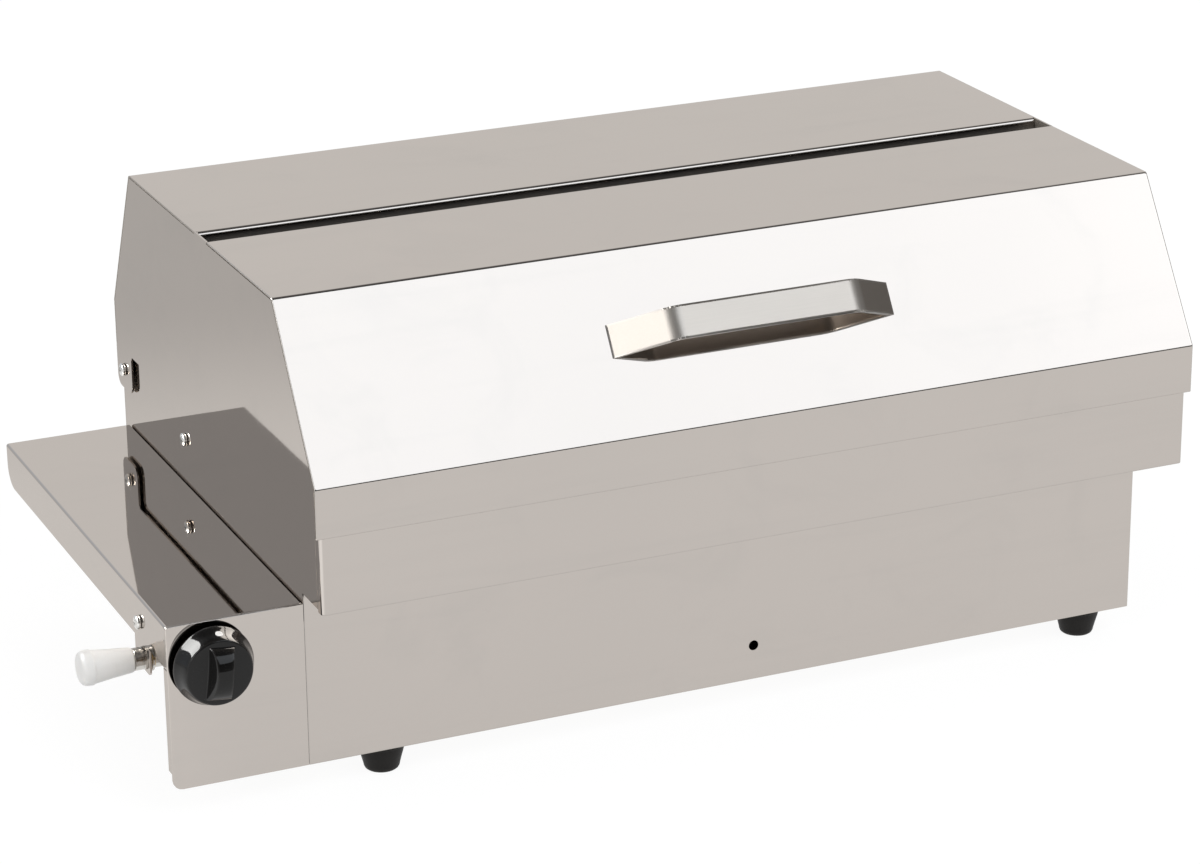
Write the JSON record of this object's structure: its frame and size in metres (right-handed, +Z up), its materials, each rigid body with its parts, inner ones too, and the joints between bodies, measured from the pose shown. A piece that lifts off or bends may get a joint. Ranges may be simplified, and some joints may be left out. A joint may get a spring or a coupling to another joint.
{
  "type": "gas grill",
  "caption": "Table-top gas grill in polished sheet steel, with a hinged hood, a bar handle, a side shelf over the control knob, rubber feet and a drip tray that slides out.",
  "frame": {"origin": "bottom centre of the whole grill's box, hood closed, on the surface that the feet stand on", "axes": "+X to the grill's right as seen from the front, along the hood; +Y from the front with the handle to the back; +Z up"},
  "size_m": [0.6922, 0.372, 0.2947],
  "materials": {
    "polished_steel": "polished to a mirror",
    "brushed_steel": "satin brushed",
    "inner_steel": "dull rolled",
    "rod_steel": "drawn, half bright",
    "fastener_steel": "bright",
    "brass": "machined",
    "knob_black": "glossy",
    "foot_rubber": "matte",
    "cap_white": "satin"
  },
  "bodies": {
    "cabinet": {"base_plate": "polished_steel", "bracket_nut": "fastener_steel", "bracket_screw": "fastener_steel", "burner": "rod_steel", "burner_bracket": "inner_steel", "control_panel": "polished_steel", "foot_front_left": "foot_rubber", "foot_front_right": "foot_rubber", "foot_rear_left": "foot_rubber", "foot_rear_right": "foot_rubber", "foot_screw_front_left": "fastener_steel", "foot_screw_front_right": "fastener_steel", "foot_screw_rear_left": "fastener_steel", "foot_screw_rear_right": "fastener_steel", "front_band": "polished_steel", "grate_rail_left": "inner_steel", "grate_rail_right": "inner_steel", "hinge_nut_left": "fastener_steel", "hinge_nut_right": "fastener_steel", "hinge_screw_left": "fastener_steel", "hinge_screw_right": "fastener_steel", "hinge_spacer_left": "cap_white", "hinge_spacer_right": "cap_white", "injector": "brass", "inlet_bracket": "polished_steel", "inlet_fitting": "brass", "lower_front_panel": "polished_steel", "lower_right_panel": "polished_steel", "rail_nut_left": "fastener_steel", "rail_nut_right": "fastener_steel", "rail_screw_left": "fastener_steel", "rail_screw_right": "fastener_steel", "rear_ledge": "inner_steel", "rear_panel": "polished_steel", "side_shelf": "polished_steel", "side_wall_left": "polished_steel", "side_wall_right": "polished_steel", "tap_body": "brass", "tap_lock_nut": "fastener_steel", "tray_guide_front": "inner_steel", "tray_guide_rear": "inner_steel"},
    "hood": {"hood_front_wrap": "polished_steel", "hood_rear_wrap": "polished_steel", "hood_side_left": "polished_steel", "hood_side_right": "polished_steel", "handle": "brushed_steel"},
    "tap_stem": {"tap_spindle": "fastener_steel"},
    "control_knob": {"knob": "knob_black"},
    "inlet_dust_cap": {"inlet_cap": "cap_white"},
    "grate": {"cooking_grate": "rod_steel"},
    "flame_plate": {"heat_plate": "inner_steel"},
    "tray": {"drip_tray": "brushed_steel"}
  },
  "joints": [
    {"name": "hood_hinge", "type": "hinge", "parent": "cabinet", "child": "hood", "pos_m": [0.058, 0.172, 0.157], "axis": [-1, 0, 0], "range_deg": [0, 98]},
    {"name": "tap_press", "type": "slide", "parent": "cabinet", "child": "tap_stem", "axis": [0, 1, 0], "range_m": [0, 0.003], "stiffness_N_per_m": 500},
    {"name": "knob_turn", "type": "hinge", "parent": "tap_stem", "child": "control_knob", "pos_m": [-0.281, -0.1564, 0.0933], "axis": [0, -1, 0], "range_deg": [0, 180]},
    {"name": "inlet_cap_pull", "type": "slide", "parent": "cabinet", "child": "inlet_dust_cap", "axis": [-1, 0, 0], "range_m": [0, 0.03]},
    {"name": "grate_lift", "type": "slide", "parent": "cabinet", "child": "grate", "axis": [0, 0, 1], "range_m": [0, 0.04]},
    {"name": "heat_plate_lift", "type": "slide", "parent": "cabinet", "child": "flame_plate", "axis": [0, 0, 1], "range_m": [0, 0.016]},
    {"name": "tray_slide", "type": "slide", "parent": "cabinet", "child": "tray", "axis": [1, 0, 0], "range_m": [0, 0.3]}
  ]
}
